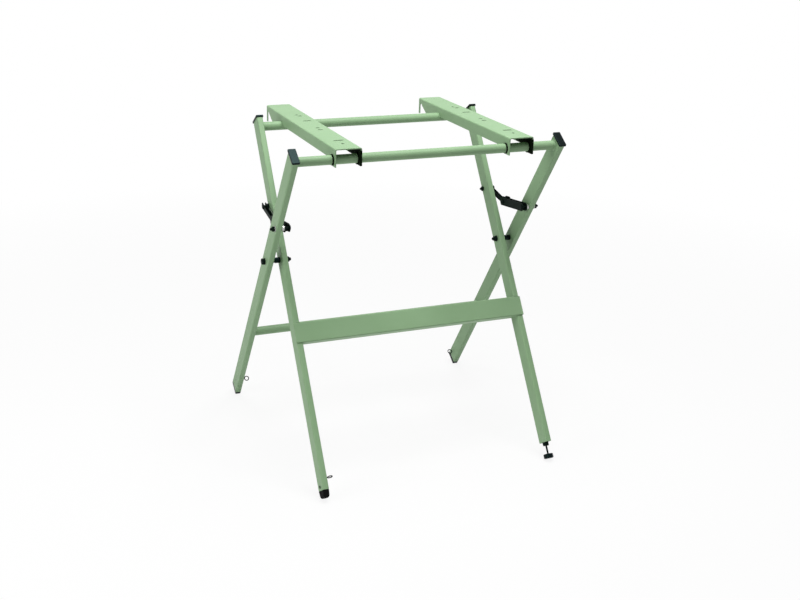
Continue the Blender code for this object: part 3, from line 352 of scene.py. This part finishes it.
# How far the edges of the pieces in each finish are rounded off
SLOT_EDGES = {
    "sage_paint": 0.0004,
    "black_plastic": 0.0006,
    "black_rubber": 0.0009,
    "black_steel": 0.0003,
    "zinc_steel": 0.0002,
}
JOIN_DISTANCE = 0.00001
EDGE_ANGLE = math.radians(40.0)
EDGE_SEGMENTS = 2
SMOOTH_ANGLE = math.radians(32.0)
FLAT_FACE_WEIGHT = 100


def smooth_bends():
    """Nodes that shade facets as one curve where they meet at a small angle."""
    tree = bpy.data.node_groups.new("smooth_bends", "GeometryNodeTree")
    tree.interface.new_socket("Mesh", in_out="INPUT", socket_type="NodeSocketGeometry")
    tree.interface.new_socket("Mesh", in_out="OUTPUT", socket_type="NodeSocketGeometry")
    bends = Nodes(tree)
    angle = bends.node("GeometryNodeInputMeshEdgeAngle")
    sharp = bends.node("FunctionNodeCompare", {"operation": "GREATER_THAN"}, {0: angle, 1: SMOOTH_ANGLE})
    values = {"Mesh": bends.node("NodeGroupInput"), "Edge Sharpness": sharp}
    shaded = bends.node("GeometryNodeSetMeshNormal", {"mode": "SHARPNESS"}, values)
    bends.node("NodeGroupOutput", None, {0: shaded})
    return tree


def finish_nodes():
    """Each solid gets its finish, rounded edges and smooth bends; its own mesh stays as it is."""
    bends = smooth_bends()
    for row in frame["record"]["subparts"]:
        node = NODES[row["node"]]
        node.data.materials.clear()
        slides = any(word in row["node"] for word in SLIDE_PIECES)
        node.data.materials.append(SLIDE_FINISH if slides else SLOT_FINISHES[row["material_slot"]])
        join = node.modifiers.new("join_facets", "WELD")
        join.merge_threshold = JOIN_DISTANCE
        round_off = node.modifiers.new("round_edges", "BEVEL")
        round_off.limit_method = "ANGLE"
        round_off.angle_limit = EDGE_ANGLE
        round_off.width = SLOT_EDGES[row["material_slot"]]
        round_off.segments = EDGE_SEGMENTS
        node.modifiers.new("smooth_bends", "NODES").node_group = bends
        flatten = node.modifiers.new("flat_faces", "WEIGHTED_NORMAL")
        flatten.weight = FLAT_FACE_WEIGHT
        flatten.keep_sharp = True


def add_piece(name, build, finish, body, sharp_angle):
    """A new piece whose faces build(work) makes, riding on a body."""
    work = bmesh.new()
    build(work)
    bmesh.ops.recalc_face_normals(work, faces=work.faces)
    mesh = bpy.data.meshes.new(name)
    work.to_mesh(mesh)
    work.free()
    mesh.shade_smooth()
    mesh.set_sharp_from_angle(angle=sharp_angle)
    mesh.materials.append(finish)
    piece = bpy.data.objects.new(name, mesh)
    bpy.context.scene.collection.objects.link(piece)
    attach(piece, body)
    return piece


def skin(work, sections, ring=False):
    """Closed shape over sections of points, ends capped unless it closes on itself."""
    rows = [[work.verts.new(point) for point in section] for section in sections]
    count = len(rows[0])
    pairs = list(zip(rows, rows[1:]))
    if ring:
        pairs.append((rows[-1], rows[0]))
    for first, second in pairs:
        for index in range(count):
            after = (index + 1) % count
            work.faces.new((first[index], first[after], second[after], second[index]))
    if not ring:
        work.faces.new(list(reversed(rows[0])))
        work.faces.new(rows[-1])


# Weld beads: width, depth of the ripples, how far they sink into the metal and how full they are
BEAD = 0.0026
BEAD_RIPPLE = 0.12
BEAD_SINK = 0.0006
BEAD_FULLNESS = 0.92
BEAD_SHARP = math.radians(60.0)

# Beads round a tube, and straight ones with blunt ends
RING_RIPPLES = 26
RING_STEPS = 104
SEAM_RIPPLE_LENGTH = 0.0022
SEAM_STEP = 0.0004
SEAM_END = 0.0016
SEAM_BLUNT = 0.05

WELDED_TUBES = (
    ("front_top_tube", "outer_frame", "front_top"),
    ("rear_lower_tube", "outer_frame", "rear_lower"),
    ("rear_top_tube", "inner_frame", "rear_top"),
)


def bead_profile(size):
    """Points across a fillet bead: out along the wall, round, and down to the tube."""
    turns = [math.pi / 8 * step for step in range(5)]
    arc = [(size * (1 - math.cos(turn)), size * (1 - math.sin(turn))) for turn in turns]
    middle = [(away * BEAD_FULLNESS, up * BEAD_FULLNESS) for away, up in arc[1:-1]]
    return [arc[0], *middle, arc[-1], (-BEAD_SINK, -BEAD_SINK)]


def ripple(turn):
    """How wide a bead is at this turn of its ripples, as a share of its plain width."""
    return 1 + BEAD_RIPPLE * abs(math.sin(turn)) - BEAD_RIPPLE / 2


def ring_bead(name, body, centre, radius, side):
    """Fillet weld round the end of a tube; side is +1 where the wall is towards -X."""
    def build(work):
        sections = []
        for step in range(RING_STEPS):
            turn = 2 * math.pi * step / RING_STEPS
            section = []
            for away, up in bead_profile(BEAD * ripple(RING_RIPPLES / 2 * turn)):
                reach = radius + up
                section.append((centre.x + side * away, centre.y + reach * math.cos(turn),
                                centre.z + reach * math.sin(turn)))
            sections.append(section)
        skin(work, sections, ring=True)
    add_piece(name, build, WELD_FINISH, body, BEAD_SHARP)


def seam_bead(name, body, start, end, wall, base, size):
    """Straight fillet weld along a corner; wall and base point out of the corner along its faces."""
    length = (end - start).length
    steps = round(length / SEAM_STEP)

    def build(work):
        sections = []
        for step in range(steps + 1):
            along = length * step / steps
            from_end = min(along, length - along) / SEAM_END
            taper = math.sqrt(1 - (1 - min(1.0, from_end + SEAM_BLUNT)) ** 2)
            width = size * ripple(math.pi * along / SEAM_RIPPLE_LENGTH) * taper
            place = start.lerp(end, along / length)
            sections.append([place + wall * away + base * up for away, up in bead_profile(width)])
        skin(work, sections)
    add_piece(name, build, WELD_FINISH, body, BEAD_SHARP)


def add_tube_welds():
    """Beads round both ends of each cross tube."""
    for node, body, where in WELDED_TUBES:
        low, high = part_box(node)
        radius = (high.z - low.z) / 2
        middle = (low + high) / 2
        ring_bead(f"weld_{where}_left", body, Vector((low.x, middle.y, middle.z)), radius, 1)
        ring_bead(f"weld_{where}_right", body, Vector((high.x, middle.y, middle.z)), radius, -1)


# Where the front panel crosses the inner legs, from the folding axis
PANEL_TOP = 0.163
PANEL_BOTTOM = 0.213
LEG_FRONT_FACE = 0.020
LEG_INSIDE = 0.285
LEG_OUTSIDE = 0.300
PANEL_WELD = 0.0019
PANEL_WELD_INSET = 0.0012
FLANGE_WELD_START = -0.0010
FLANGE_WELD_END = 0.0180


def add_panel_welds():
    """Beads across each leg above and below the panel, and along the ends of its flanges."""
    for side, name in ((-1, "left"), (1, "right")):
        inner = SIDEWAYS * side * (LEG_INSIDE + PANEL_WELD_INSET)
        outer = SIDEWAYS * side * (LEG_OUTSIDE - PANEL_WELD_INSET)
        for down, away, edge in ((PANEL_TOP, -1, "top"), (PANEL_BOTTOM, 1, "bottom")):
            corner = AXIS + DOWN_LEG * down + LEG_FRONT * LEG_FRONT_FACE
            seam_bead(f"weld_panel_{edge}_{name}", "inner_frame", corner + inner, corner + outer,
                      DOWN_LEG * away, LEG_FRONT, PANEL_WELD)
            flange = AXIS + DOWN_LEG * down + SIDEWAYS * side * LEG_INSIDE
            start = flange + LEG_FRONT * FLANGE_WELD_START
            end = flange + LEG_FRONT * FLANGE_WELD_END
            seam_bead(f"weld_flange_{edge}_{name}", "inner_frame", start, end,
                      DOWN_LEG * away, SIDEWAYS * -side, PANEL_WELD)


# Threads: points round the rod and along one turn, and the sizes on the levelling screw
THREAD_SIDES = 24
THREAD_STEPS = 6
THREAD_SHARP = math.radians(40.0)
LEVELLING_PITCH = 0.0008
LEVELLING_DEPTH = 0.00035

# On bolt tips: crest above the plain bolt, groove below it, and the chamfer left bare
CREST = 0.00028
GROOVE = 0.00008
TIP_CHAMFER = 0.0012

# Bolts whose thread shows past the nut, with their radius and pitch
THREADED_BOLTS = (
    ("pivot_bolt", "pivot_nut", 0.004, 0.00125),
    ("stay_bolt", "stay_nut", 0.003, 0.0010),
    ("stay_anchor_bolt", "stay_anchor_nut", 0.003, 0.0010),
)


def threaded_rod(work, start, axis, length, radius, pitch, depth):
    """Rod with a helical thread; the crest follows the turn round the axis."""
    across = axis.orthogonal().normalized()
    upward = axis.cross(across)
    rows = max(2, round(length / pitch * THREAD_STEPS))
    sections = []
    for row in range(rows + 1):
        along = length * row / rows
        taper = min(1.0, min(along, length - along) / pitch)
        section = []
        for side in range(THREAD_SIDES):
            turn = 2 * math.pi * side / THREAD_SIDES
            phase = (along / pitch - side / THREAD_SIDES) % 1.0
            groove = abs(2 * phase - 1)
            reach = radius - depth * (groove * taper + (1 - taper))
            outward = across * math.cos(turn) + upward * math.sin(turn)
            section.append(start + axis * along + outward * reach)
        sections.append(section)
    skin(work, sections)


def add_levelling_thread():
    """The levelling screw with its thread, in place of the plain rod."""
    low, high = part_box("levelling_screw")
    middle = (low + high) / 2
    radius = (high.x - low.x) / 2
    reach = (high.z - low.z - 2 * radius * math.sin(LEAN)) / math.cos(LEAN) / 2

    def build(work):
        threaded_rod(work, middle - DOWN_LEG * reach, DOWN_LEG, 2 * reach, radius,
                     LEVELLING_PITCH, LEVELLING_DEPTH)
    screw = add_piece("levelling_screw_threaded", build, SLOT_FINISHES["black_steel"],
                      "levelling_stem", THREAD_SHARP)
    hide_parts("levelling_screw")


def add_bolt_thread(bolt, nut, radius, pitch):
    """Thread on the bolt's tip, from the nut's outer face to the chamfer."""
    bolt_low, bolt_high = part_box(bolt)
    nut_low, nut_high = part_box(nut)
    middle = (nut_low + nut_high) / 2
    side = 1 if middle.x > (bolt_low.x + bolt_high.x) / 2 else -1
    start = nut_high.x if side > 0 else nut_low.x
    tip = bolt_high.x if side > 0 else bolt_low.x
    length = abs(tip - start) - TIP_CHAMFER

    def build(work):
        threaded_rod(work, Vector((start, middle.y, middle.z)), SIDEWAYS * side, length,
                     radius + CREST, pitch, CREST + GROOVE)
    slot = next(row["material_slot"] for row in frame["record"]["subparts"] if row["node"] == bolt)
    add_piece(bolt + "_thread", build, SLOT_FINISHES[slot], NODES[bolt]["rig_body"], THREAD_SHARP)


def add_bolt_threads():
    for side in ("left", "right"):
        for bolt, nut, radius, pitch in THREADED_BOLTS:
            add_bolt_thread(f"{bolt}_{side}", f"{nut}_{side}", radius, pitch)


def pale_floor():
    """Pale floor that shows white and still takes the stand's shadow near its feet."""
    pale = Finish("pale_floor", Roughness=FLOOR_ROUGHNESS, Specular_IOR_Level=0.0)
    pale.show(pale.blend(pale.noise(scale=2.0), FLOOR_PATCHES, FLOOR_PALE))
    place = pale.node("ShaderNodeTexCoord", output="Object")
    far = pale.node("ShaderNodeVectorMath", {"operation": "LENGTH"}, {0: place}, output="Value")
    shown = pale.ramp(far, FLOOR_NEAR, FLOOR_FAR, start=1.0 - FLOOR_SHADOW)
    glow = pale.node("ShaderNodeEmission", None, {"Color": WHITE, "Strength": 1.0})
    surface = Spread(pale, pale.surface.outputs[0])
    mixed = pale.node("ShaderNodeMixShader", None, {0: pale.seen() * shown, 1: surface, 2: glow})
    pale.feed(pale.tree.nodes["Material Output"].inputs["Surface"], mixed)
    return pale.material


def add_floor():
    mesh = bpy.data.meshes.new("studio_floor")
    work = bmesh.new()
    bmesh.ops.create_grid(work, x_segments=1, y_segments=1, size=FLOOR_HALF)
    work.to_mesh(mesh)
    work.free()
    mesh.materials.append(pale_floor())
    floor = bpy.data.objects.new("studio_floor", mesh)
    floor.location.z = -FLOOR_BELOW
    bpy.context.scene.collection.objects.link(floor)


def add_room():
    """White to the eye and in reflections, a soft even light on the stand."""
    world = bpy.data.worlds.new("studio")
    bpy.context.scene.world = world
    world.use_nodes = True
    room = Nodes(world.node_tree)
    light = room.node("ShaderNodeBackground", None, {"Color": WHITE, "Strength": ROOM_LIGHT})
    white = room.node("ShaderNodeBackground", None, {"Color": WHITE, "Strength": 1.0})
    mixed = room.node("ShaderNodeMixShader", None, {0: room.seen(), 1: light, 2: white})
    room.feed(world.node_tree.nodes["World Output"].inputs["Surface"], mixed)


def add_lamp(name, place, aim, size, power):
    lamp = bpy.data.lights.new(name, "AREA")
    lamp.shape = "DISK"
    lamp.size = size
    lamp.energy = power
    holder = bpy.data.objects.new(name, lamp)
    holder.location = place
    holder.rotation_mode = "QUATERNION"
    holder.rotation_quaternion = (Vector(aim) - Vector(place)).to_track_quat("-Z", "Y")
    bpy.context.scene.collection.objects.link(holder)


def add_camera():
    """Camera where the photograph was taken from."""
    data = bpy.data.cameras.new("camera")
    data.sensor_width = CAMERA_SENSOR
    data.lens = CAMERA_LENS
    data.shift_y = CAMERA_SHIFT_Y
    holder = bpy.data.objects.new("camera", data)
    turn, rise, roll = CAMERA_AZIMUTH, CAMERA_ELEVATION, CAMERA_ROLL
    ahead = Vector((-math.sin(turn) * math.cos(rise), math.cos(turn) * math.cos(rise), -math.sin(rise)))
    right = Vector((math.cos(turn), math.sin(turn), 0.0))
    up = right.cross(ahead)
    rolled_right = right * math.cos(roll) + up * math.sin(roll)
    rolled_up = up * math.cos(roll) - right * math.sin(roll)
    facing = Matrix((rolled_right, rolled_up, -ahead)).transposed().to_4x4()
    holder.matrix_world = Matrix.Translation(CAMERA_PLACE) @ facing
    bpy.context.scene.collection.objects.link(holder)
    bpy.context.scene.camera = holder


finish_nodes()
add_tube_welds()
add_panel_welds()
add_levelling_thread()
add_bolt_threads()
add_floor()
add_room()
add_lamp("overhead_softbox", OVERHEAD_PLACE, OVERHEAD_AIM, OVERHEAD_SIZE, OVERHEAD_POWER)
add_lamp("side_fill", FILL_PLACE, FILL_AIM, FILL_SIZE, FILL_POWER)
add_camera()
bpy.context.scene.view_settings.view_transform = "Standard"
